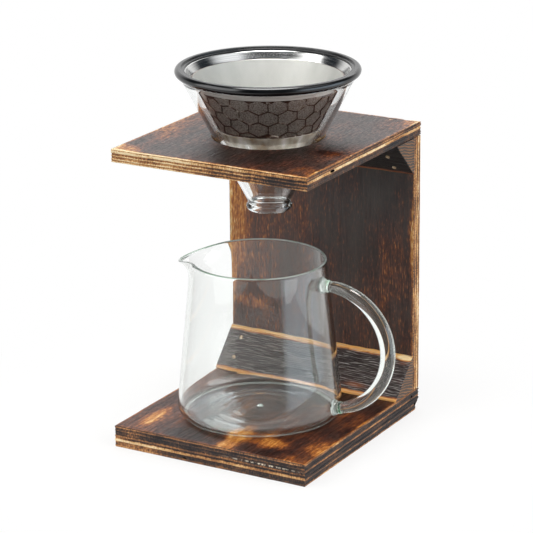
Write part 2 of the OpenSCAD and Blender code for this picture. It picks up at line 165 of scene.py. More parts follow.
def cloud(node, mm, across, upright=None, detail=2):
    """Noise from 0 to 1 with so many hills to a mm, across and upright."""
    hills = node("VectorMath.MULTIPLY", [mm, (across, across, upright or across)])
    return node("TexNoise", {"Vector": hills, "Scale": 1, "Detail": detail})


def grain_noises(node, mm, axis, shift, *rows):
    """Noises around 0, from rows of a hill's length along an axis and width across it in mm, detail and own shift."""
    noises = []
    for length, across, detail, apart in rows:
        hills = [1 / (length if k == axis else across) for k in range(3)]
        stretched = node("VectorMath.MULTIPLY_ADD", [mm, hills, (shift + apart,) * 3])
        noise = node("TexNoise", {"Vector": stretched, "Scale": 1, "Detail": detail, "Roughness": 0.55})
        noises.append(node("Math.SUBTRACT", [noise, 0.5]))
    return noises


def soft_spots(node, mm, marks):
    """Pairs of a soft spot and its weight, from (centre, half sizes, weight) in mm."""
    spots = []
    for centre, half, weight in marks:
        shares = [1 / h for h in half], [-c / h for c, h in zip(centre, half)]
        far = node("VectorMath.LENGTH", [node("VectorMath.MULTIPLY_ADD", [mm, *shares])], out="Value")
        spots.append((node("MapRange", [far, 0.25, 1, 1, 0], **SOFT), weight))
    return spots


def on_face(axis, level, deep, *rows):
    """Marks, as soft_spots takes them, on a board's face at a level along an axis. A row has two places and two
    half sizes on the face and the weight; deep is the half size across the face."""
    marks = []
    for *numbers, weight in rows:
        centre, half = numbers[:2], numbers[2:]
        centre.insert(axis, level)
        half.insert(axis, deep)
        marks.append((centre, half, weight))
    return marks


# Scorched wood from char to bare straw, as the torch leaves it and the wire brush wears it back
SCORCH = [
    (0, "#100a09"), (0.2, "#221411"), (0.36, "#3c2119"), (0.5, "#5e331f"),
    (0.62, "#8c4d22"), (0.75, "#bb7834"), (0.88, "#dba45a"), (1, "#f0d3a0"),
]
# The same on a sawn edge, where the bared wood is paler and the char greyer
SCORCHED_EDGE = [
    (0, "#141011"), (0.2, "#2c2320"), (0.4, "#5c402f"), (0.6, "#a16d42"), (0.8, "#d0a36b"), (1, "#f0dab0"),
]


def scorched_veneer(
    node, mm, grain, box, level, marks, ash, blotch, sheen, matt=(), rub=0.3, streak=0.5, fleck=0.12, pore=0.5, rag=9,
    patchy=0, rough=(0.36, 0.6), relief=0.5, shift=0,
):
    """Larch veneer burnt and brushed: hard dark rings, worn soft bands, bare wood where edges were rubbed. grain is
    the fibres' axis, box the board's corners. marks are soft spots frayed by rag: the torch's, and on the shelf and
    back some painted shade and painted sheen. matt areas shine less, patchy mottles the sheen. ash greys the char
    with fine dust of burnt wood and a painted sheen; blotch, rub, streak, fleck and pore weigh the patterns."""
    fibres, rings, scorch, pores, flecks = grain_noises(
        node, mm, grain, shift, (17, 0.75, 3, 0), (70, 3.4, 2, 5), (40, 20, 4, 9), (3.6, 1.4, 3, 17), (4.5, 0.5, 1, 13),
    )
    stray = cloud(node, mm, 0.16, detail=3).node.outputs["Color"]
    ragged = node("VectorMath.MULTIPLY_ADD", [stray, (rag,) * 3, mm])
    spots = soft_spots(node, ragged, [([c + rag / 2 for c in centre], h, w) for centre, h, w in marks])
    middle, half = np.mean(box, 0), np.ptp(box, 0) / 2
    offset = node("VectorMath.ABSOLUTE", [node("VectorMath.SUBTRACT", [mm, middle])])
    inside = node("SeparateXYZ", [node("VectorMath.SUBTRACT", [half, offset])]).node.outputs
    near = node("Math.MINIMUM", [inside[axis] for axis in range(3) if axis != half.argmin()])
    rubbed = node("MapRange", [tone_sum(node, near, (scorch, 4)), 0.2, 3.2, 1, 0], **SOFT)
    tone = tone_sum(
        node, level, (fibres, streak), (rings, streak * 0.7), (scorch, blotch), (pores, pore),
        (node("MapRange", [flecks, 0.09, 0.2]), fleck), (rubbed, rub), *spots,
    )
    # Grey where the scorch cloud is low: fine dust of burnt wood in the brushed furrows, and partly a painted sheen
    ash_sheen_share = node("MapRange", [scorch, -0.2, 0.25, ash, 0])
    burnt = node("ValToRGB", [tone], ramp=SCORCH)
    height = tone_sum(node, 0, (fibres, 1), (rings, 0.8), (pores, 0.6))
    shine = tone_sum(node, sheen, *soft_spots(node, mm, matt))
    return {
        "Base Color": node("Mix", {0: ash_sheen_share, 6: burnt, 7: linear("#4d4540")}, **COLOURS),
        "Roughness": node("MapRange", [fibres, -0.3, 0.3, *rough[::-1]]),
        "Normal": (relief, 0.0005, height),
        "Specular IOR Level": node("Math.MULTIPLY", [shine, tone_sum(node, 1, (pores, patchy))]),
    }


def ply_edge(node, mm, through, top, plies, level, marks=(), splinter=None, shift=0):
    """Sawn edge of plywood, scorched: long-grain plies stay tan, end-grain plies burn black, as thin even bands.
    through is the axis across the plies, top where they start; plies are (thickness, lightness)."""
    wander, pores, burn = grain_noises(node, mm, through, shift, (60, 11, 2, 0), (1.6, 0.8, 2, 3), (5, 16, 2, 6))
    down = node("Math.SUBTRACT", [top, node("SeparateXYZ", [mm]).node.outputs[through]])
    ragged = tone_sum(node, down, (wander, 0.9), (pores, 0.35))
    total = sum(thick for thick, _ in plies)
    stops, start, soft = [], 0, 0.16
    for thick, lightness in plies:
        grey = "#" + 3 * f"{round(255 * lightness):02x}"
        stops += [((start + soft) / total, grey), ((start + thick - soft) / total, grey)]
        start += thick
    lit = node("SeparateColor", [node("ValToRGB", [node("Math.DIVIDE", [ragged, total])], ramp=stops)])
    tone = tone_sum(node, level, (lit, 0.6), (burn, 0.8), (pores, 0.9), *soft_spots(node, mm, marks))
    colour = node("ValToRGB", [tone], ramp=SCORCHED_EDGE)
    if splinter:
        # Pale fresh wood where the saw tore one ply
        [(torn, _)] = soft_spots(node, mm, [splinter])
        [chips] = grain_noises(node, mm, through, shift, (8, 3, 3, 21))
        pale = node("Math.MULTIPLY", [torn, node("MapRange", [chips, 0, 0.07])])
        colour = node("Mix", {0: pale, 6: colour, 7: linear("#f2e6cf")}, **COLOURS)
    height = tone_sum(node, 0, (lit, 0.5), (pores, 1.2))
    return {"Base Color": colour, "Roughness": 0.62, "Normal": (0.5, 0.0004, height), "Specular IOR Level": 0.35}


def scorched_strip(node, mm, edges, level, painted_glints, marks=(), shift=0):
    """Softwood strip burnt almost black: brushing leaves fine raised lines along it and bares its thin edges.
    edges are heights of bare lines, as (height, half width, weight)."""
    lines, bands, wave, sway, breaks = grain_noises(
        node, mm, 0, shift, (22, 0.7, 3, 0), (60, 4, 2, 4), (9, 60, 3, 8), (26, 7, 3, 12), (12, 0.8, 2, 15),
    )
    level_z = node("SeparateXYZ", [mm]).node.outputs["Z"]
    wavy = tone_sum(node, level_z, (wave, 1.6))
    bare = []
    for edge, half, weight in edges:
        gap = node("Math.ABSOLUTE", [node("Math.SUBTRACT", [wavy, edge])])
        bare.append((node("MapRange", [gap, half * 0.3, half, 1, 0], **SOFT), weight))
    tone = tone_sum(node, level, (lines, 0.42), (bands, 0.42), *bare, *soft_spots(node, mm, marks))
    burnt = node("ValToRGB", [tone], ramp=SCORCH)
    # Painted highlights: pale hairlines in the colour where brushed-up fibres catch the light, drawn 1.3 mm apart to
    #     show, and breaking off along the grain
    hairs = node("Math.SINE", [tone_sum(node, 0, (level_z, 6.8), (sway, 26))])
    painted_glint = node("MapRange", [tone_sum(node, hairs, (breaks, 5)), 0.5, 1.5, 0, painted_glints])
    height = tone_sum(node, 0, (lines, 1.3), (bands, 0.5), (hairs, 0.2))
    return {
        "Base Color": node("Mix", {0: painted_glint, 6: burnt, 7: linear("#a39c97")}, **COLOURS),
        "Roughness": node("MapRange", [lines, -0.3, 0.3, 0.6, 0.34]), "Normal": (0.8, 0.0006, height),
        "Specular IOR Level": 0.45,
    }


def strip_end_grain(node, mm):
    """Sawn end of the softwood strip: curved year rings, brown and grey from the torch."""
    wobble, pores = grain_noises(node, mm, 0, 0, (30, 7, 2, 0), (4, 0.7, 2, 3))
    place = node("SeparateXYZ", [mm]).node.outputs
    ring = tone_sum(node, place["Z"], (place["Y"], 0.22), (wobble, 3))
    wave = node("Math.SINE", [node("Math.MULTIPLY", [ring, 3.3])])
    tone = tone_sum(node, 0.5, (wave, 0.22), (pores, 0.4), (wobble, 0.35))
    burnt = node("ValToRGB", [tone], ramp=SCORCH)
    return {
        "Base Color": node("Mix", {0: 0.6, 6: burnt, 7: linear("#56554f")}, **COLOURS), "Roughness": 0.7,
        "Normal": (0.4, 0.0004, wave), "Specular IOR Level": 0.3,
    }


def clouded(node, mm, hills, tones, rest, detail=2, rough=None, bump=None):
    """A surface with one cloud over it, of so many hills to a mm: tones are its colours, rough the roughness at the
    cloud's 0 and 1, rest the shader's other inputs. bump is how strongly a second cloud stands up, and its hills."""
    clouds = cloud(node, mm, *hills, detail=detail)
    look = {"Base Color": node("ValToRGB", [clouds], ramp=tones), **rest}
    if rough:
        look["Roughness"] = node("MapRange", [clouds, 0, 1, *rough])
    if bump:
        strength, bumps = bump
        look["Normal"] = (strength, 0.0002, cloud(node, mm, bumps, detail=detail))
    return look


def clear_glass(node, mm):
    """Heat-resistant borosilicate glass, fire polished: clear with sharp reflections, and faint waves of blowing."""
    waves = cloud(node, mm, 0.07, 0.018, 1)
    relief = (0.12, 0.0004, waves)
    return {"Base Color": WHITE, "Roughness": 0, "IOR": GLASS_IOR, "Transmission Weight": 1, "Normal": relief}


def glass_painted_veil(node, mm):
    """Inner floor of the blown jug, with a faint cool veil of painted light: a small white diffuse share in the glass.
    """
    clear = node("MapRange", [cloud(node, mm, 0.04), 0.35, 0.65, 0.965, 0.985])
    return {"Base Color": linear("#f2f5f7"), "Roughness": 0.02, "IOR": GLASS_IOR, "Transmission Weight": clear}


def woven_steel_mesh(node, mm):
    """Fine woven stainless wire: even satin grey, a little warm. Its 0.1 mm wires are drawn 0.9 mm apart to show."""
    wires_round, wire_pitch = 280, 0.9
    centred = node("VectorMath.SUBTRACT", [mm, (0, HOLE_Y, 0)])
    place = node("SeparateXYZ", [centred]).node.outputs
    turn = node("Math.ARCTAN2", [place["Y"], place["X"]])
    warp, weft = [
        node("Math.SINE", [node("Math.MULTIPLY", [way, waves])])
        for way, waves in ((turn, wires_round), (place["Z"], 2 * math.pi / wire_pitch))
    ]
    weave = node("Math.MULTIPLY", [warp, weft])
    [uneven] = grain_noises(node, centred, 2, 0, (40, 14, 3, 0))
    tone = tone_sum(node, 0.5, (weave, 0.16), (uneven, 0.5))
    return {
        "Base Color": node("ValToRGB", [tone], ramp=[(0.2, "#a3a39e"), (0.8, "#cbcbc6")]), "Metallic": 0.6,
        "Normal": (0.25, 0.0002, weave), "Roughness": 0.58,
    }


def cut_stainless(node, mm):
    """Thin stainless sheet with honeycomb windows cut by laser: bars browned by heat, plain steel at the rear seam."""
    browned = node("ValToRGB", [cloud(node, mm, 0.26)], ramp=[(0.35, "#33211b"), (0.57, "#523a31"), (0.68, "#b8aea5")])
    level = node("VectorMath.MULTIPLY_ADD", [mm, (1, 1, 0), (0, -HOLE_Y, 0)])
    outward = node("VectorMath.NORMALIZE", [level])
    plain = node("MapRange", [node("VectorMath.DOT_PRODUCT", [outward, SEAM_WAY], out="Value"), 0.955, 0.985])
    # Rolling lines finer than a pixel are drawn 0.4 mm apart
    sheet = node("ValToRGB", [cloud(node, mm, 0.06, 2.5)], ramp=[(0.3, "#8f8780"), (0.7, "#b4aca5")])
    colour = node("Mix", {0: plain, 6: browned, 7: sheet}, **COLOURS)
    return {"Base Color": colour, "Metallic": 0.6, "Roughness": 0.28}


# Plies from the top face down, or from the rear face forward, as (thickness, lightness). A ply that shows long
# grain on the front edge shows end grain at the sides, so the sides have their own row.
BASE_PLIES = [
    (0.6, 0.35), (0.9, 0.75), (1.5, 0.05), (0.7, 0.6), (1.4, 0), (0.6, 0.35), (0.9, 0),
    (1.1, 0.7), (1.3, 0), (1.7, 0.9), (1.2, 0.15), (1.5, 0.05), (1.6, 0.55),
]
BASE_SIDE_PLIES = [
    (1.1, 0.8), (1, 0.05), (0.6, 0.35), (1.9, 0), (1.1, 0.8), (1.6, 0.05),
    (0.6, 0.3), (2.1, 0), (1, 0.75), (2.7, 0.05), (1.3, 0.85),
]
SHELF_PLIES = [
    (0.7, 0.9), (0.5, 0.15), (1.6, 0.85), (1.3, 0), (0.7, 0.8), (1.5, 0.05), (0.8, 0.75), (1, 0.2), (0.9, 0.8),
]
SHELF_SIDE_PLIES = [
    (0.6, 0.5), (0.8, 0.1), (0.7, 0.7), (0.9, 0.2), (1.6, 0.95), (0.9, 0.3), (1.4, 0.05), (1.1, 0.2), (1, 0.35),
]
BACK_PLIES = [(1.1, 0.8), (1.5, 0.25), (1.3, 0.85), (1.5, 0.2), (1.2, 0.75), (1.4, 0.2), (1, 0.5)]

base_veneer = material(
    "scorched_larch_plywood_base", scorched_veneer, 1, BASE_BOX, 0.36,
    marks=on_face(
        2, BASE_TOP, 9, (10, -60, 11, 34, 0.44), (30, -56, 26, 13, 0.36), (-57, -52, 6.5, 28, 0.28),
        (-57, -56, 20, 32, 0.14), (65, -50, 12, 22, 0.22), (62, -74, 20, 10, 0.2), (39, -72, 16, 12, -0.14),
        (-26, -70, 22, 14, -0.1), (66, 2, 9, 16, 0.16), (59, 28, 16, 16, -0.2), (4, 36, 80, 26, -0.14),
    ),
    matt=on_face(2, BASE_TOP, 20, (48, -44, 60, 95, -0.21)),
    ash=0.04, blotch=0.75, sheen=0.24, patchy=1.5, rough=(0.26, 0.4),
)
base_edge = material(
    "scorched_ply_edge_base", ply_edge, 2, BASE_TOP, BASE_PLIES, 0.2,
    marks=on_face(1, BASE_FRONT_Y, 8, (-62, 3, 54, 9, 0.26), (-30, 11.5, 34, 4, -0.12)),
    splinter=((40, BASE_FRONT_Y, 9.3), (36, 3, 0.8), 1),
)
base_side_edge = material(
    "scorched_ply_side_edge_base", ply_edge, 2, BASE_TOP, BASE_SIDE_PLIES, 0.16, shift=9,
    marks=on_face(0, STAND_HALF_W, 8, (66, 8, 34, 14, -0.06)),
)
shelf_veneer = material(
    "scorched_larch_plywood_shelf", scorched_veneer, 1, SHELF_BOX, 0.32, shift=31,
    marks=on_face(
        # The first two marks, darker in front of the dripper and just right of it, are painted shade for its dark
        # reflection and its shadow
        2, SHELF_TOP, 9, (16, -51, 52, 26, -0.18), (54, -8, 10, 26, -0.06), (62, -62, 18, 15, 0.26),
        # Lighter on the left and at the rear right: bare wood, and partly a painted sheen
        (-61, -2, 22, 66, 0.2), (-66, -69, 18, 14, 0.5), (68, 74, 12, 14, 0.36),
    ) + on_face(2, SHELF_UNDER, 6, (0, 20, 90, 80, -0.12)),
    # Painted shade: the sheen is taken off in front of the dripper and just right of it, for its dark reflection and
    # its shadow
    matt=on_face(2, SHELF_TOP, 20, (52, -38, 95, 75, -0.255), (56, -10, 24, 28, -0.03)),
    rub=0.46, ash=0.16, streak=0.22, fleck=0.08, blotch=0.95, pore=1, rag=10, sheen=0.28, patchy=3,
    rough=(0.24, 0.38), relief=0.4,
)
shelf_edge = material(
    "scorched_ply_edge_shelf", ply_edge, 2, SHELF_TOP, SHELF_PLIES, 0.28, shift=17,
    marks=on_face(1, SHELF_FRONT_Y, 8, (-55, 195.5, 70, 14, 0.34), (54, 194, 20, 7, -0.2)),
)
shelf_side_edge = material(
    "scorched_ply_side_edge_shelf", ply_edge, 2, SHELF_TOP, SHELF_SIDE_PLIES, 0.26, shift=29,
    marks=on_face(0, STAND_HALF_W, 8, (-6, 196, 44, 1.6, 0.2), (50, 193.5, 40, 4, -0.12)),
)
back_veneer = material(
    "scorched_larch_plywood_back", scorched_veneer, 2, BACK_BOX, 0.3, shift=57,
    marks=on_face(
        # The light left edge is bare wood, and partly a painted sheen
        1, BACK_FRONT_Y, 9, (-70, 124, 22, 90, 0.34), (-50, 110, 34, 70, 0.1), (70.5, 120, 4.5, 40, 0.36),
        (-56, 59, 22, 7, 0.22), (26, 140, 44, 80, -0.09), (52, 156, 26, 36, -0.16), (58, 98, 18, 34, 0.07),
        # The last mark, darker just under the shelf, is painted shade
        (-24, 130, 22, 40, 0.05), (0, 184, 80, 20, -0.1),
    ) + on_face(1, REAR_Y, 5, (0, 100, 80, 90, 0.02)),
    rub=0.25, ash=0.52, streak=0.52, fleck=0.26, blotch=0.28, pore=0.6, rag=5, sheen=0.35,
)
back_edge = material("scorched_ply_edge_back", ply_edge, 1, REAR_Y, BACK_PLIES, 0.42, shift=41)
soot = material(  # matt black, a little brown, in the voids of a ply
    "soot_in_ply_void", clouded, [0.9], [(0.3, "#0b0908"), (0.7, "#1d1511")],
    {"Roughness": 0.9, "Specular IOR Level": 0.2},
)
lower_strip_face = material(
    "scorched_softwood_lower_strip", scorched_strip, [(39.5, 3, 0.74), (15.9, 2.5, 0.7)], 0.17, 0.75,
    marks=[((38, 50, 20.5), (14, 5, 2.6), 0.36), ((66, 66, 37), (8, 5, 5), 0.36)],
)
upper_strip_face = material(
    "scorched_softwood_upper_strip", scorched_strip, [(166.4, 1.9, 0.6)], 0.02, 0.08, shift=23,
)
strip_end = material("softwood_end_grain", strip_end_grain)
# Drawn wire nails, browned by the torch round their heads and bright where they were rubbed. Their near-white
# spots are also painted highlights, and the bright nails are painted light to show in the shade under the shelf
nail_steel_painted_light, burnt_nail_steel_painted_glints = [
    material(
        name, clouded, [0.42], [(0.3, burnt), (0.5, brown), (0.75, "#f3e7d2")], {"Metallic": 0.45}, 3, (0.5, 0.28),
    )
    for name, burnt, brown in (("bright_wire_nail", "#b98f66", "#e2c9a6"), ("scorched_wire_nail", "#5a4433", "#b39a7c"))
]

DRIPPER_TINT = {"Color": linear("#dcefe6"), "Density": 18}
JUG_TINT = {"Color": linear("#bcedcb"), "Density": 15}
dripper_glass = material("borosilicate_glass_dripper", clear_glass, tint=DRIPPER_TINT)
jug_glass = material("borosilicate_glass_jug", clear_glass, tint=JUG_TINT)
# Painted light and shade where light led along inside the glass would come out: half-diffuse glass, uneven and
# pale to grey green. The lip and the floor's drop are painted pale, the fused ends dark in places, the foot only a
# fine clear line
lip_painted_light, fused_painted_light, foot_painted_light = [
    material(
        "borosilicate_glass_" + end, clouded, [hills], [(0.38, dark), (0.62, pale)],
        {"Roughness": 0.04, "IOR": GLASS_IOR, "Transmission Weight": clear}, tint=JUG_TINT,
    )
    for end, hills, dark, pale, clear in (
        ("lip_painted_light", 0.09, "#adbdb3", "#e9f0ec", 0.5), ("fused_end_painted_light", 0.26, "#4c5751", "#e6ece9", 0.5),
        ("foot_painted_light", 0.09, "#c3ccc7", "#eef3f0", 0.76),
    )
]
# Painted light: a faint cool veil over the jug's inner floor
floor_painted_veil = material("borosilicate_glass_jug_floor", glass_painted_veil, tint=JUG_TINT)

# Moulded silicone: deep black with a satin skin that picks up a soft grey line of light
ring_silicone = material(
    "black_silicone", clouded, [0.06], [(0.35, "#0b0c0d"), (0.7, "#141516")], {}, rough=(0.12, 0.22), bump=(0.08, 1.6),
)
# Spun and polished: mirror bright, with hair-fine rings from the lathe. They are far finer than a pixel, so they
# are drawn 0.5 mm apart
bright_steel = material(
    "polished_stainless_steel", clouded, (0.03, 2), [(0.3, "#c9c9c7"), (0.7, "#dddddb")], {"Metallic": 1},
    rough=(0.1, 0.22),
)
# Brushed, on the collar's skirt: soft light grey with fine level lines, drawn 0.4 mm apart to show
skirt_steel = material(
    "brushed_stainless_steel", clouded, (0.04, 2.5), [(0.3, "#a39d98"), (0.7, "#c6c1bc")], {"Metallic": 0.25},
    rough=(0.34, 0.5),
)
# Deep drawn, on the cup: bright, with upright draw marks; their streaks from brown to near white are painted
# reflections of the shelf and the lamps, drawn about 8 mm apart to show
cup_steel_painted_streaks = material(
    "drawn_stainless_steel", clouded, (0.12, 0.008), [(0.34, "#9a8b78"), (0.5, "#cbc4b8"), (0.66, "#f1f0ec")],
    {"Metallic": 0.55}, rough=(0.14, 0.34),
)
mesh_steel = material("woven_stainless_mesh", woven_steel_mesh)
# The mesh cone's outer side mirrors the brown shelf under it, and its colours, darker and browner than the inner
# side's, are painted shade
shaded_mesh_back_steel = material(
    "woven_stainless_mesh_outside_painted_shade", clouded, [1.5], [(0.35, "#7d736c"), (0.65, "#cdc3bb")],
    {"Metallic": 0.9, "Roughness": 0.4}, detail=1, bump=(0.2, 1.5),
)
comb_steel = material("laser_cut_stainless_sheet", cut_stainless)


# Meshes

def new_object(name, data):
    """A new object in the scene."""
    made = bpy.data.objects.new(name, data)
    bpy.context.scene.collection.objects.link(made)
    return made


def shade(mesh, sharp):
    """Smooth shading that breaks at sharp degrees."""
    mesh.polygons.foreach_set("use_smooth", np.ones(len(mesh.polygons), bool))
    if sharp is not None:
        mesh.set_sharp_from_angle(angle=math.radians(sharp))


def mesh_object(name, points, faces, materials, which=None, sharp=None):
    """A mesh from points in mm. which gives each face's material, sharp where shading breaks."""
    mesh = bpy.data.meshes.new(name)
    mesh.from_pydata([tuple(p) for p in np.asarray(points, float) * MM], [], [tuple(map(int, f)) for f in faces])
    for made in materials:
        mesh.materials.append(made)
    if which is not None:
        mesh.polygons.foreach_set("material_index", np.asarray(which, np.int32))
    work = bmesh.new()
    work.from_mesh(mesh)
    bmesh.ops.remove_doubles(work, verts=work.verts, dist=1e-8)
    bmesh.ops.recalc_face_normals(work, faces=work.faces)
    work.to_mesh(mesh)
    work.free()
    shade(mesh, sharp)
    return new_object(name, mesh)


def settle(piece, body, slot, *replaced):
    """The piece rides on its body and stands for its CAD nodes; slot is not used."""
    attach(piece, body)
    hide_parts(*replaced)


def soft_hills(u, v, seed):
    """Smooth random heights from 0 to 1, one hill to a unit."""
    u, v = np.broadcast_arrays(np.asarray(u, float), np.asarray(v, float))
    i, j = np.floor(u).astype(int), np.floor(v).astype(int)
    s, t = u - i, v - j
    s, t = s * s * (3 - 2 * s), t * t * (3 - 2 * t)
    i, j = i - i.min(), j - j.min()
    hills = np.random.default_rng(seed).random((i.max() + 2, j.max() + 2))
    near = hills[i, j] * (1 - s) + hills[i + 1, j] * s
    far = hills[i, j + 1] * (1 - s) + hills[i + 1, j + 1] * s
    return near * (1 - t) + far * t


def swellings(at, waves):
    """Sum of smooth swellings at a place, each as (height, middle, width)."""
    return sum(height * np.exp(-((at - middle) / width) ** 2) for height, middle, width in waves)


def ring_faces(rings, sides, closed):
    """Faces between rings of points; closed joins the last ring to the first."""
    i, j = np.arange(rings if closed else rings - 1)[:, None], np.arange(sides)
    a, b, k = i * sides, (i + 1) % rings * sides, (j + 1) % sides
    return np.stack([a + j, a + k, b + k, b + j], -1).reshape(-1, 4)


def rod_faces(rings, sides):
    """Faces of a rod through rings of points, its two ends last."""
    ends = [range(sides), range((rings - 1) * sides, rings * sides)]
    return [*ring_faces(rings, sides, False), *ends]


def circle(sides):
    """Angles of points round a circle."""
    return 2 * np.pi * np.arange(sides) / sides


def turned(name, section, sides, materials, middle, low, which=None, sharp=None):
    """A closed section of (radius, height) turned round an upright axis. which is the material from each point of
    the section to the next."""
    section = np.asarray(section, float)
    angle = circle(sides)
    points = np.stack([
        middle[0] + section[:, :1] * np.cos(angle), middle[1] + section[:, :1] * np.sin(angle),
        low + np.repeat(section[:, 1:], sides, 1),
    ], -1).reshape(-1, 3)
    which = None if which is None else np.repeat(which, sides)
    return mesh_object(name, points, ring_faces(len(section), sides, True), materials, which, sharp)


def arc(centre, radius, first, last, steps):
    """Points of an arc in a section, angles in degrees from the radius outwards."""
    angles = np.radians(np.linspace(first, last, steps))
    return [(centre[0] + radius * math.cos(a), centre[1] + radius * math.sin(a)) for a in angles]


def eased_section(corners, radii, steps):
    """A closed section with rounded corners, and points close by that keep the straight sides flat."""
    corners = np.array(corners, float)
    section = []
    for corner, before, after, radius in zip(corners, np.roll(corners, 1, 0), np.roll(corners, -1, 0), radii):
        ends, flat = [], []
        for other in (before, after):
            side = np.linalg.norm(other - corner)
            way = (other - corner) / side
            ends.append(corner + way * min(radius, side * 0.45))
            flat.append(ends[-1] + way * min(0.25, side * 0.04))
        bend = [(1 - s) ** 2 * ends[0] + 2 * s * (1 - s) * corner + s * s * ends[1] for s in np.linspace(0, 1, steps)]
        section += [flat[0], *bend, flat[1]]
    return section


# Boards

EASE = 0.55  # rounding that the brush leaves on a board's edges
BAND = 5  # how far a worn edge draws the face with it
PLY_BACK = 0.4  # how far a burnt ply lies behind a tan one
PLY_STEP = 0.09  # half the way over which one ply steps back from the next
MESH_STEPS = 0.8, 2.4  # between mesh lines across and along the grain
FACE_LOOK, EDGE_LOOK, SOOT_LOOK, SIDE_LOOK = range(4)  # order of a board's materials


def ply_lines(plies):
    """Depths of the mesh lines down a board's edge, close together where one ply meets the next."""
    total = sum(thick for thick, _ in plies)
    lines, start = {0, 0.25, total - 0.25, total}, 0
    for thick, _ in plies[:-1]:
        start += thick
        lines |= {round(start - PLY_STEP, 3), round(start + PLY_STEP, 3)}
    kept = []
    for line in sorted(lines):
        if kept and line - kept[-1] > 1:
            kept.append((line + kept[-1]) / 2)
        kept.append(line)
    return np.array(kept)


def edge_wear(along, down, plies, seed, chips):
    """How far a board's edge lies back along it and down its plies: burnt plies, long waves, rounded rims and chips,
    as (along, down, half length, half height, depth)."""
    bounds = np.cumsum([thick for thick, _ in plies])
    ply = np.clip(np.searchsorted(bounds, down), 0, len(plies) - 1)
    back = PLY_BACK * (1 - np.array([lightness for _, lightness in plies]))[ply]
    wear = back * (0.45 + 0.9 * soft_hills(along / 4, ply * 3 + 0.5, seed))
    wear += 0.16 * soft_hills(along / 13, down / 40, seed + 1)
    rim = np.clip(1 - np.minimum(down, bounds[-1] - down) / EASE, 0, 1) ** 2
    wear += EASE * rim * (0.7 + 0.8 * soft_hills(along / 2.5, down * 0 + 0.5, seed + 2))
    for middle, depth_at, half_l, half_h, depth in chips:
        far = ((along - middle) / half_l) ** 2 + ((down - depth_at) / half_h) ** 2
        wear += depth * np.clip(1 - far, 0, 1)
    return wear


def ply_board(node, grain, through, plies, looks, seed, chips, deep=0.2):
    """A plywood board on its solid's box: furrows brushed along the grain, plies that lie back in turn on the edges.
    chips go by axis and side, deep is the depth of the furrows."""
    low, high = (np.array(corner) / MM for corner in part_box(node))
    axes = [3 - grain - through, grain, through]
    low, high = low[axes], high[axes]
    lines = [np.linspace(low[k], high[k], round((high[k] - low[k]) / MESH_STEPS[k]) + 1) for k in (0, 1)]
    lines.append(high[2] - ply_lines(plies)[::-1])
    count = np.array([len(line) for line in lines])
    grid = np.stack(np.meshgrid(*map(np.arange, count), indexing="ij"), -1)
    outside = ((grid == 0) | (grid == count - 1)).any(-1)
    index = np.full(outside.shape, -1)
    index[outside] = np.arange(outside.sum())
    cell = grid[outside]
    point = np.stack([lines[k][cell[:, k]] for k in range(3)], -1)
    down = high[2] - point[:, 2]
    moved = point.copy()
    for axis, other in ((0, 1), (1, 0)):
        for side in (-1, 1):
            edge = high[axis] if side > 0 else low[axis]
            wear = edge_wear(point[:, other], down, plies, seed + 7 * axis + 3 * side, chips.get((axis, side), ()))
            moved[:, axis] -= side * wear * np.clip(1 - np.abs(point[:, axis] - edge) / BAND, 0, 1) ** 2
    furrow = deep * soft_hills(point[:, 0] / 1.7, point[:, 1] / 34, seed + 40)
    furrow += 0.6 * deep * soft_hills(point[:, 0] / 9, point[:, 1] / 50, seed + 41)
    moved[:, 2] += np.select([cell[:, 2] == 0, cell[:, 2] == count[2] - 1], [furrow, -furrow])
    faces, which = [], []
    for axis, look in enumerate((SIDE_LOOK, EDGE_LOOK, FACE_LOOK)):
        for side in (0, -1):
            sheet = np.take(index, side, axis=axis)
            quads = np.stack([sheet[:-1, :-1], sheet[1:, :-1], sheet[1:, 1:], sheet[:-1, 1:]], -1).reshape(-1, 4)
            faces.append(quads)
            which.append(np.full(len(quads), look))
    points = np.empty_like(moved)
    points[:, axes] = moved
    name = node + "_plywood"
    return mesh_object(name, points, np.concatenate(faces), looks, np.concatenate(which), WOOD_SHARP)


def cut(board, cutter):
    """Cuts the cutter out of the board and removes it."""
    step = board.modifiers.new("cut", "BOOLEAN")
    step.operation, step.solver, step.object = "DIFFERENCE", "EXACT", cutter
    bpy.context.view_layer.update()
    mesh = bpy.data.meshes.new_from_object(board.evaluated_get(bpy.context.evaluated_depsgraph_get()))
    board.modifiers.clear()
    board.data = mesh
    bpy.data.objects.remove(cutter)
    shade(mesh, WOOD_SHARP)


def bore(board, section, sides, middle, low, look):
    """Cuts a turned section out of a board, with one of the board's materials on the cut."""
    cut(board, turned("bore", section, sides, board.data.materials, middle, low, [look] * len(section)))


def open_voids(board, voids, seed):
    """Opens sooty voids in a board's plies: ragged lumps, as (centre, half sizes)."""
    lumps = bmesh.new()
    rng = np.random.default_rng(seed)
    for centre, half in voids:
        for vert in bmesh.ops.create_icosphere(lumps, subdivisions=3, radius=1.0)["verts"]:
            swell = 0.9 + 0.2 * rng.random()
            vert.co = [c + h * swell * x for c, h, x in zip(centre, half, vert.co)]
    lumps.verts.index_update()
    points = [tuple(vert.co) for vert in lumps.verts]
    faces = [[vert.index for vert in face.verts] for face in lumps.faces]
    lumps.free()
    cut(board, mesh_object("void", points, faces, board.data.materials, [SOOT_LOOK] * len(faces)))


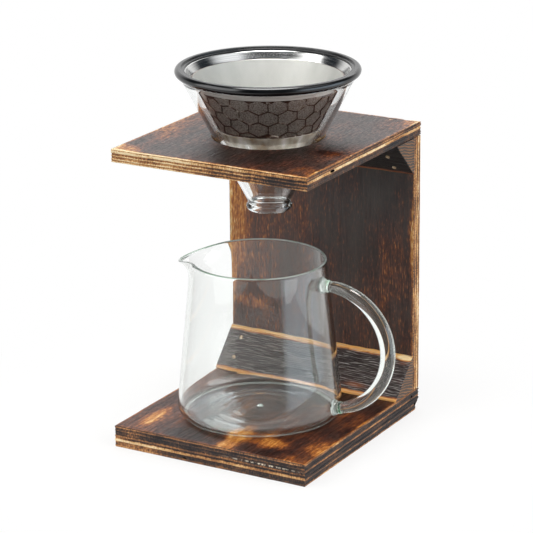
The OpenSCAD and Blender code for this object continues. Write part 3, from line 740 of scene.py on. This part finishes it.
base_board = ply_board(
    "base_board", 1, 2, BASE_PLIES, [base_veneer, base_edge, soot, base_side_edge], 11,
    chips={
        (0, 1): [(78, 14, 3, 6, 1.6), (-45, 13.6, 2, 1.5, 0.8)],
        (1, 1): [(70, 14, 4, 6, 1.6)],
        (1, -1): [(14, 5.8, 7, 0.8, 0.5), (30, 5.8, 9, 0.8, 0.5), (55, 5.6, 15, 0.8, 0.5), (-18, 13.4, 3, 1.4, 0.9)],
    },
)
shelf_board = ply_board(
    "shelf_board", 1, 2, SHELF_PLIES, [shelf_veneer, shelf_edge, soot, shelf_side_edge], 23,
    chips={(1, 1): [(61.5, 0.5, 4, 1.5, 1.5), (48, 0.3, 3, 1, 0.8)], (1, -1): [(68, 3.2, 4, 1.2, 0.8)]}, deep=0.1,
)
back_board = ply_board("back_board", 2, 1, BACK_PLIES, [back_veneer, back_edge, soot, back_edge], 37, chips={})
OVER = 2  # how far a cutter stands out of the wood
pit_section = [(0, -PIT_DEPTH), (PIT_R, -PIT_DEPTH), (PIT_R, OVER), (0, OVER)]
hole_low = SHELF_UNDER - SHELF_TOP - OVER
hole_section = [(0, hole_low), (HOLE_R, hole_low), (HOLE_R, -HOLE_EASE), (HOLE_R + HOLE_EASE + OVER, OVER), (0, OVER)]
for x in (-EDGE_NAIL_X, 0, EDGE_NAIL_X):
    for board, low, way in ((shelf_board, SHELF_TOP, 1), (base_board, 0, -1)):
        bore(board, [(r, way * z) for r, z in pit_section], PIT_SIDES, (x, EDGE_NAIL_Y), low, SOOT_LOOK)
bore(shelf_board, hole_section, HOLE_SIDES, (0, HOLE_Y), SHELF_TOP, EDGE_LOOK)
open_voids(base_board, [
    ((71, 68.4, 11.2), (2.5, 1.3, 0.9)), ((71, 72.9, 4.6), (2.5, 1.5, 1)), ((-18, -78.5, 1.9), (1.9, 1.6, 0.8)),
], 5)
open_voids(shelf_board, [((71, -41.4, 196.2), (3, 3, 0.75))], 6)
for board, node in ((base_board, "base_board"), (shelf_board, "shelf_board"), (back_board, "back_board")):
    settle(board, "stand", "scorched_plywood", node)


# Corner strips

def corner_strip(name, corner_z, flip, looks, seed):
    """A triangular strip along X between two boards, brushed so that its hard lines stand up along the slope."""
    corners = np.array([
        (0, 0), (0, STRIP_LEG), (-STRIP_BLUNT, STRIP_LEG), (-STRIP_LEG, STRIP_BLUNT), (-STRIP_LEG, 0),
    ])
    gaps = [4, 0.4, 0.55, 0.4, 4]  # between mesh lines on each side
    sides = [
        a + np.arange(0, 1, gap / np.linalg.norm(b - a))[:, None] * (b - a)
        for a, b, gap in zip(corners, np.roll(corners, -1, 0), gaps)
    ]
    section = np.concatenate(sides)
    slope = np.repeat(np.arange(5) == 2, [len(side) for side in sides])
    middle, end = np.array([-8, 8]), STAND_HALF_W
    along = np.concatenate([[-end, -end + 0.5], np.arange(-end + 2, end - 1.9, 2), [end - 0.5, end]])

    def hills(wide, long, number):
        return soft_hills(np.arange(len(section)) / wide, along[:, None] / long, seed + number)

    def inward(places):
        way = middle - places
        return way / np.linalg.norm(way, axis=1)[:, None]

    furrows = (hills(1.5, 34, 0) * 0.3 + hills(9, 30, 1) * 0.25) * slope
    rings = section + furrows[..., None] * np.array([0.7071, -0.7071])
    # The two thin edges are worn in waves, the ends rounded
    out, up = section.T
    near, far = 2.6, STRIP_LEG - 2.5
    thin = (abs(out) < near) & (up > far) | (up < near) & (out < -far)
    rings += (hills(50, 6, 2) * 0.5 * thin)[..., None] * inward(section)
    for ring in (rings[0], rings[-1]):
        ring += 0.4 * inward(ring)
    points = np.stack([
        np.repeat(along[:, None], len(section), 1), BACK_FRONT_Y + rings[..., 0], corner_z + flip * rings[..., 1],
    ], -1).reshape(-1, 3)
    faces = rod_faces(len(along), len(section))
    return mesh_object(name, points, faces, looks, [0] * (len(faces) - 2) + [1, 1], WOOD_SHARP)


for name, node, corner_z, flip, face, seed in (
    ("lower_corner_strip", "lower_brace", BASE_TOP, 1, lower_strip_face, 71),
    ("upper_corner_strip", "upper_brace", SHELF_UNDER, -1, upper_strip_face, 83),
):
    settle(corner_strip(name, corner_z, flip, [face, strip_end], seed), "stand", "scorched_softwood", node)


# Dripper and filter, turned about the hole's axis

def glass_r(h):
    """The cone's outer radius at a height."""
    return NECK_R + (h - BEAD_T) * CONE_TAN


def sleeve_r(h):
    """The honeycomb sleeve's outer radius at a height."""
    return glass_r(h) - GLASS_LEVEL - FILTER_AIR


AT_DRIPPER = (0, HOLE_Y), DRIPPER_Z


def filter_piece(name, node, slot, section, sides, looks, which=None):
    """A turned piece of the filter in the dripper."""
    settle(turned(name, section, sides, looks, *AT_DRIPPER, which, FILTER_SHARP), "filter", slot, node)


rim_round = 0.5  # the rim is ground, its edges broken
rim_low = DRIPPER_H - rim_round
bead_r = BEAD_T / 2
bore_r = glass_r(BEAD_T) - GLASS_LEVEL
wall_steps = np.linspace(BEAD_T + 1.6, rim_low - 0.6, 40)
dripper_section = (
    # Bead, and the fillet over it
    arc((NECK_R + BEAD_OUT - bead_r, bead_r), bead_r, -90, 52, 22)
    + [(glass_r(BEAD_T + 0.6) + 0.12, BEAD_T + 0.45)]
    # Cone and rim
    + [(glass_r(h), h) for h in wall_steps]
    + arc((glass_r(rim_low) - rim_round, rim_low), rim_round, -22, 90, 8)
    + arc((glass_r(rim_low) - GLASS_LEVEL + rim_round, rim_low), rim_round, 90, 202, 8)
    + [(glass_r(h) - GLASS_LEVEL, h) for h in wall_steps[::-1]]
    # Bore, and its rounded mouth
    + [(bore_r + 0.05, BEAD_T + 0.4), (bore_r, BEAD_T - 0.4), (bore_r, 2.4), (bore_r, 1.2)]
    + [(bore_r + 0.25, 0.35), (bore_r + 0.9, 0.02)]
)
dripper = turned("dripper_glass_cone", dripper_section, DRIPPER_SIDES, [dripper_glass], *AT_DRIPPER)
settle(dripper, "dripper", "dripper_glass", "glass_dripper")
dripper.visible_shadow = False  # lamps shine through clear glass

gap_level, steel_level, mesh_level, sleeve_level = [t / CONE_COS for t in (LAYER_GAP, STEEL_T, MESH_T, SLEEVE_T)]
ring_in, ring_top, ring_bead = RING_R - RING_W, RING_LOW + RING_H, RING_H / 2
bead_in = RING_R - ring_bead
lip_in, lip_h = ring_in + RING_LIP, RING_LOW + RING_LIP_H
flange_out = ring_in + FLANGE_REACH
flange_low, flange_top = [RING_LOW + ring_bead + side * STEEL_T / 2 for side in (-1, 1)]
groove_in, groove_low, groove_top = flange_out + LAYER_GAP, flange_low - LAYER_GAP, flange_top + LAYER_GAP
ring_section = (
    eased_section(
        [(groove_in, groove_low), (ring_in, groove_low), (ring_in, RING_LOW), (bead_in, RING_LOW)],
        [0.05, 0.3, 0.5, 0.05], 4,
    )[:-3]
    + arc((bead_in, RING_LOW + ring_bead), ring_bead, -90, 90, 25)
    + eased_section(
        [(bead_in, ring_top), (lip_in, ring_top), (lip_in, lip_h), (ring_in, lip_h), (ring_in, groove_top),
         (groove_in, groove_top)],
        [0.05, 0.55, 0.3, 0.35, 0.2, 0.05], 5,
    )[3:]
)
filter_piece("filter_rim_ring", "filter_ring", "black_silicone", ring_section, FILTER_SIDES, [ring_silicone])

throat_out = ring_in - LAYER_GAP
steel_in, steel_out = gap_level, gap_level + steel_level  # level, from the sleeve to collar and cup
collar_section = eased_section([
    (sleeve_r(SKIRT_H) + steel_in, SKIRT_H), (sleeve_r(SKIRT_H) + steel_out, SKIRT_H),
    (sleeve_r(BEND_H) + steel_out, BEND_H), (throat_out, flange_low), (flange_out, flange_low),
    (flange_out, flange_top), (throat_out - STEEL_T, flange_top), (sleeve_r(BEND_H) + steel_in, BEND_H),
], [0.12, 0.12, 0.8, 0.5, 0.15, 0.15, 0.5, 0.8], 7)
skirt = [9 < i < 27 for i in range(len(collar_section))]  # the outside, up to the bend
looks = [bright_steel, skirt_steel]
filter_piece("filter_collar_steel", "filter_collar", "polished_steel", collar_section, FILTER_SIDES, looks, skirt)

mesh_steps = np.linspace(CUP_TOP - CUP_LAP, BEND_H, 14)
mesh_out = -sleeve_level - gap_level
mesh_section = [(sleeve_r(h) + mesh_out, h) for h in mesh_steps]
mesh_section += [(sleeve_r(h) + mesh_out - mesh_level, h) for h in mesh_steps[::-1]]
outside = np.arange(len(mesh_section)) < len(mesh_steps)
looks = [mesh_steel, shaded_mesh_back_steel]
filter_piece("filter_mesh_cone", "filter_mesh", "steel_mesh", mesh_section, FILTER_SIDES, looks, outside)

cup_floor = CUP_BOTTOM + STEEL_T
cup_section = eased_section([
    (0, CUP_BOTTOM), (sleeve_r(CUP_BOTTOM) + steel_out, CUP_BOTTOM), (sleeve_r(CUP_TOP) + steel_out, CUP_TOP),
    (sleeve_r(CUP_TOP) + steel_in, CUP_TOP), (sleeve_r(cup_floor) + steel_in, cup_floor), (0, cup_floor),
], [0, 1.4, 0.15, 0.15, 0.9, 0], 8)
cup_section = [(max(0, r), z) for r, z in cup_section]
outside = np.arange(len(cup_section)) < 30  # bottom and wall
looks = [bright_steel, cup_steel_painted_streaks]
filter_piece("filter_cup_steel", "filter_cup", "polished_steel", cup_section, CUP_SIDES, looks, outside)

for node, steel in (
    ("honeycomb_sleeve", comb_steel), ("lower_brace_nails", burnt_nail_steel_painted_glints), ("upper_brace_nails", nail_steel_painted_light),
    ("shelf_nails", nail_steel_painted_light), ("base_nails", nail_steel_painted_light),
):
    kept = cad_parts[node].data.materials
    kept.clear()
    kept.append(steel)


# Jug: a blown body with a pulled spout, its handle a solid rod fused on

def jug_wall_r(z):
    """The wall's outer radius at a height, away from the spout."""
    return JUG_R - (z - HEEL_R) * (JUG_R - JUG_RIM_R) / (JUG_H - HEEL_R)


def punt_z(r):
    """Height of the pushed-up floor's underside."""
    return PUNT_H * (1 - (r / PUNT_R) ** 2)


def on_base(points):
    """Turns points from the jug's own frame to its place on the base."""
    c, s = math.cos(JUG_TURN), math.sin(JUG_TURN)
    x, y, z = np.asarray(points).reshape(-1, 3).T
    return np.stack([c * x - s * y, s * x + c * y + JUG_Y, z + JUG_Z], -1)


def jug_section():
    """The jug's section: under its foot, up the wall, over the lip and down to the floor's middle."""
    lean = math.degrees(math.atan((JUG_R - JUG_RIM_R) / (JUG_H - HEEL_R)))
    heel, spout_low = (JUG_R - HEEL_R, HEEL_R), JUG_H - SPOUT_L
    under = [*((r, punt_z(r)) for r in np.linspace(0, PUNT_R, 12)), (heel[0] - 1.5, 0)]
    wall_z = [*np.linspace(HEEL_R + 4, spout_low - 3, 18), *np.linspace(spout_low, JUG_H - LIP_R, 16)]
    wall = [(jug_wall_r(z), z) for z in wall_z]
    lip = arc((JUG_RIM_R - LIP_R, JUG_H - LIP_R), LIP_R, 22, 158, 7)
    inner = [(r - JUG_WALL, z) for r, z in wall[::-1]]
    # The floor keeps faint rings from the mould and a drop where the iron was cracked off
    r = np.concatenate([np.linspace(PUNT_R, 3.2, 40), np.linspace(2.8, 0, 9)])
    drop = DROP_H * np.clip(1 - (r / DROP_R) ** 2, 0, 1) ** 1.2
    floor = zip(r, JUG_WALL + punt_z(r) + swellings(r, FLOOR_RIPPLES) + drop)
    return np.array([
        *under, *arc(heel, HEEL_R, -90, lean, 20), *wall, *lip, *inner,
        *arc(heel, HEEL_R - JUG_WALL, lean, -90, 16), *floor,
    ])


def jug_body():
    """The blown body: a turned section with the spout pulled out of it, and the unevenness of blowing."""
    section = jug_section()
    half = len(section) // 2  # points under and outside come first, those inside after them
    angle = circle(JUG_SIDES)
    around = (angle + np.pi) % (2 * np.pi) - np.pi
    share = np.where(np.abs(around) < SPOUT_HALF, np.cos(np.pi / 2 * around / SPOUT_HALF) ** 2, 0)
    # A blown wall is never quite round
    sway = 0.1 * np.sin(2 * angle + 0.7) + 0.06 * np.sin(5 * angle + 2.1)
    r, z = section[:, :1], section[:, 1:]
    pull = np.clip((z - JUG_H + SPOUT_L) / (SPOUT_L - LIP_R), 0, 1)
    radius = r + pull ** PULL_POWER * SPOUT_REACH * share + sway * np.clip((z - 12) / 30, 0, 1) * np.minimum(1, r / 40)
    height = z - pull ** DROOP_POWER * SPOUT_DROOP * share
    x, y = -radius * np.cos(angle), -radius * np.sin(angle)
    # The floor sagged in soft waves as it cooled, on both sides
    floor = np.clip(1 - (radius / 41) ** 2, 0, 1) * (height < 9)
    inside = (np.arange(len(section)) > half)[:, None]
    height = height + floor * np.where(inside, 0.3, 0.2) * (soft_hills(x / 10 + 9 * inside, y / 10, 97) - 0.5)
    place = np.arange(len(section) - 1)
    (r, z), next_z = section[:-1].T, section[1:, 1]
    # Faces with painted light: the lip and the drop pale, a fine line on the foot, a veil on the floor
    lip = (z > JUG_H - 0.9) & (next_z > JUG_H - 0.9)
    drop = place > len(section) - 8
    painted_veil = (place > half) & (r < PUNT_R + 2) & (z < 12)
    foot = (place < half) & (r > JUG_R - HEEL_R + 2) & (next_z < 1.8)
    look = np.select([lip | drop, painted_veil, foot], [1, 2, 3], 0)
    return mesh_object(
        "jug_glass_body", on_base(np.stack([x, y, height], -1)), ring_faces(len(section), JUG_SIDES, False),
        [jug_glass, lip_painted_light, floor_painted_veil, foot_painted_light], np.repeat(look, JUG_SIDES),
    )


def jug_handle():
    """The rod: a straight stub from the wall, then a half ring down to the heel; its ends swell where they fused."""
    top_z = BOW_Z + BOW_R
    wall_top = jug_wall_r(top_z) + ROD_AIR
    bow_end = -math.acos((jug_wall_r(BOW_Z - BOW_R) + ROD_AIR - BOW_X) / BOW_R)
    stub = BOW_X - wall_top
    total = stub + BOW_R * (math.pi / 2 - bow_end)
    angle = circle(ROD_SIDES)
    near, near_steps, bow_steps = 14, 44, 120  # length by each end with closer rings, and the rings' numbers
    lengths = np.concatenate([
        np.linspace(0, near, near_steps), np.linspace(near, total - near, bow_steps)[1:-1],
        np.linspace(total - near, total, near_steps),
    ])
    past = lengths - stub  # below 0 on the stub
    a = math.pi / 2 - np.maximum(past, 0) / BOW_R
    out_x, out_z = np.cos(a), np.sin(a)
    end = np.minimum(lengths, total - lengths)
    r = (ROD_END_D + (ROD_D - ROD_END_D) * np.sin(math.pi * lengths / total)) / 2
    r += (FUSE_D - ROD_END_D) / 2 * np.clip(1 - end / FUSE_L, 0, 1) ** 2
    # The pincers leave a ridge where the soft rod was pressed on
    r += swellings(end, PINCER_MARKS)
    rise, aside = np.outer(np.cos(angle), r), np.outer(np.sin(angle), r)
    x = BOW_X + np.minimum(past, 0) + BOW_R * out_x + rise * out_x
    z = BOW_Z + BOW_R * out_z + rise * out_z
    rings = np.stack([x.T, aside.T, z.T], -1)
    wall = np.sqrt(np.maximum((jug_wall_r(rings[..., 2]) + ROD_AIR) ** 2 - rings[..., 1] ** 2, 0))
    rings[..., 0] = np.maximum(rings[..., 0], wall)
    rings[[0, -1], :, 0] = wall[[0, -1]]
    # The faces by each fused end take glass with painted light and shade
    fused = end < FUSED_PALE
    which = np.concatenate([np.repeat(fused[:-1] & fused[1:], ROD_SIDES), [1, 1]])
    faces = rod_faces(len(rings), ROD_SIDES)
    return mesh_object("jug_handle_rod", on_base(rings), faces, [jug_glass, fused_painted_light], which, ROD_SHARP)


for glass, node in ((jug_body(), "jug_body"), (jug_handle(), "jug_handle")):
    settle(glass, "jug", "jug_glass", node)
    glass.visible_shadow = False  # lamps shine through clear glass


# Floor, light and camera

CAMERA_AZ, CAMERA_EL, CAMERA_ROLL = 30.319, 18.025, -0.602
FOCAL_PX, PHOTO_PX, SENSOR_MM = 2523.268, 533, 36
CAMERA_AT = (-2.057, 106.4, 1675.14)  # right, up and back from the stand's middle on the floor
LAMPS_AIM = Vector((0, 0, 0.11))


def facing(azimuth, elevation):
    """Unit vector from the object towards an azimuth (0 is the front, 90 the right) and elevation in degrees."""
    a, e = math.radians(azimuth), math.radians(elevation)
    return Vector((math.sin(a) * math.cos(e), -math.cos(a) * math.cos(e), math.sin(e)))


back = facing(CAMERA_AZ, CAMERA_EL)
right = facing(CAMERA_AZ + 90, 0)
roll = Matrix.Rotation(math.radians(-CAMERA_ROLL), 3, "Z")
turn = (roll @ Matrix((right, back.cross(right), back))).transposed()
camera_data = bpy.data.cameras.new("photo_view")
camera_data.sensor_width = SENSOR_MM
camera_data.lens = SENSOR_MM * FOCAL_PX / PHOTO_PX
camera_data.clip_start, camera_data.clip_end = 0.05, 50
camera = new_object("photo_view", camera_data)
camera.matrix_world = Matrix.Translation(turn @ Vector(CAMERA_AT) * MM) @ turn.to_4x4()
bpy.context.scene.camera = camera

# Large soft lamps that face the object: azimuth from the camera's and elevation in degrees, width, height and
# distance in metres, watts, and whether metal and glass mirror it
for name, azimuth, elevation, width, height, distance, watts, mirrored in (
    ("right_softbox", 62, 22, 1.75, 2.6, 2.2, 34, False),
    ("left_softbox", -68, 42, 1.6, 1.5, 2.2, 22, False),
    ("top_softbox", 0, 84, 1.3, 1.3, 1.9, 11, True),
    ("rear_softbox", 170, 40, 1.6, 1.2, 2.4, 9, True),
):
    lamp = bpy.data.lights.new(name, "AREA")
    lamp.shape, lamp.size, lamp.size_y, lamp.energy = "RECTANGLE", width, height, watts
    softbox = new_object(name, lamp)
    way = facing(CAMERA_AZ + azimuth, elevation)
    aim = way.to_track_quat("Z", "Y").to_matrix().to_4x4()
    softbox.matrix_world = Matrix.Translation(LAMPS_AIM + way * distance) @ aim
    softbox.visible_camera, softbox.visible_glossy = False, mirrored

# Studio: white paper round the sides and behind, a dark room in front and overhead that only metal and glass show
world = bpy.data.worlds.new("studio")
bpy.context.scene.world = world
room = emptied(world)
path = room("LightPath").node.outputs
way = room("TexCoord", out="Generated")
height = room("SeparateXYZ", [way]).node.outputs["Z"]
front, side = [
    room("VectorMath.DOT_PRODUCT", [way, facing(CAMERA_AZ + azimuth, 0)], out="Value") for azimuth in (0, 90)
]
rightwards = room("Math.ARCTAN2", [side, front])  # in radians from the camera's side


def card(below, strength, *limits):
    """Hangs a card into the studio. Each limit is a value, where the card ends and where it is full."""
    share = 1
    for value, ends, full in limits:
        share = room("Math.MULTIPLY", [share, room("MapRange", [value, ends, full])])
    return room("Mix", {0: share, 6: below, 7: (*strength, 1)}, **COLOURS)


studio = linear("#262b31")
for strength, *limits in (
    # Paper low all round, and the backdrop
    ((1, 1, 1), (height, 0.3, 0.1), (front, 0.82, 0.6)),
    ((1, 1, 1), (height, 0.62, 0.4), (front, -0.55, -0.8)),
    # On the right a cool window low down and a dimmer one over it
    ((2.5, 2.95, 3.35), (height, -0.4, -0.25), (height, 0.36, 0.3), (rightwards, 0.58, 0.76), (rightwards, 1.95, 1.6)),
    ((1.25, 1.28, 1.32), (height, 0.52, 0.68), (height, 0.92, 0.82), (rightwards, 0.6, 1), (rightwards, 1.95, 1.7)),
    # On the left a tall card, overhead a small bright one
    (
        (3.4, 3.4, 3.4), (height, -0.15, -0.05), (height, 0.78, 0.7), (rightwards, -0.62, -0.7),
        (rightwards, -1.75, -1.65),
    ),
    ((12, 12, 12), (height, 0.93, 0.95)),
):
    studio = card(studio, strength, *limits)
# Glass bends in light from a bright tent overhead; the backdrop dims towards its top
tent = room("MapRange", [height, 0.15, 0.55, 1, 2])
tent = card(tent, (0.72, 0.78, 0.84), (height, 0.05, 0.25), (front, -0.45, -0.75))
studio = room("Mix", {0: path["Is Transmission Ray"], 6: studio, 7: tent}, **COLOURS)
mirrored = room("Math.MAXIMUM", [path["Is Glossy Ray"], path["Is Transmission Ray"]])
AMBIENT = (0.5, 0.5, 0.5, 1)
shine = room("Mix", {0: mirrored, 6: AMBIENT, 7: studio}, **COLOURS)
seen = room("Mix", {0: path["Is Camera Ray"], 6: shine, 7: WHITE}, **COLOURS)
room("OutputWorld", {"Surface": room("Background", {"Color": seen})})

# Pale round paper floor: white as seen, keeps the stand's soft shadow close by and ends before the jug mirrors it
FLOOR_R, SHADOW_R, FLOOR_SIDES = 0.24, 0.1, 96
paper_floor = bpy.data.materials.new("white_paper_floor")
paper = emptied(paper_floor)
path = paper("LightPath").node.outputs
far = paper("VectorMath.LENGTH", [paper("TexCoord", out="Object")], out="Value")
bare = paper("MapRange", [far, SHADOW_R, FLOOR_R, 0.76, 1], **SOFT)
mirrored = paper("Math.MAXIMUM", [path["Is Glossy Ray"], path["Is Transmission Ray"]])
shown = paper("Math.MAXIMUM", [mirrored, path["Is Camera Ray"]])
paper_shader = paper("MixShader", [
    paper("Math.MULTIPLY", [shown, bare]), paper("BsdfDiffuse", {"Color": linear("#f4f3f1")}),
    paper("Emission", {"Color": WHITE}),
])
paper("OutputMaterial", {"Surface": paper_shader})
angle = circle(FLOOR_SIDES)
rim = FLOOR_R / MM * np.stack([np.cos(angle), np.sin(angle), 0 * angle], -1)
floor = mesh_object("paper_floor", rim, [range(FLOOR_SIDES)], [paper_floor])

bpy.context.scene.view_settings.view_transform = "Standard"

bpy.context.view_layer.update()
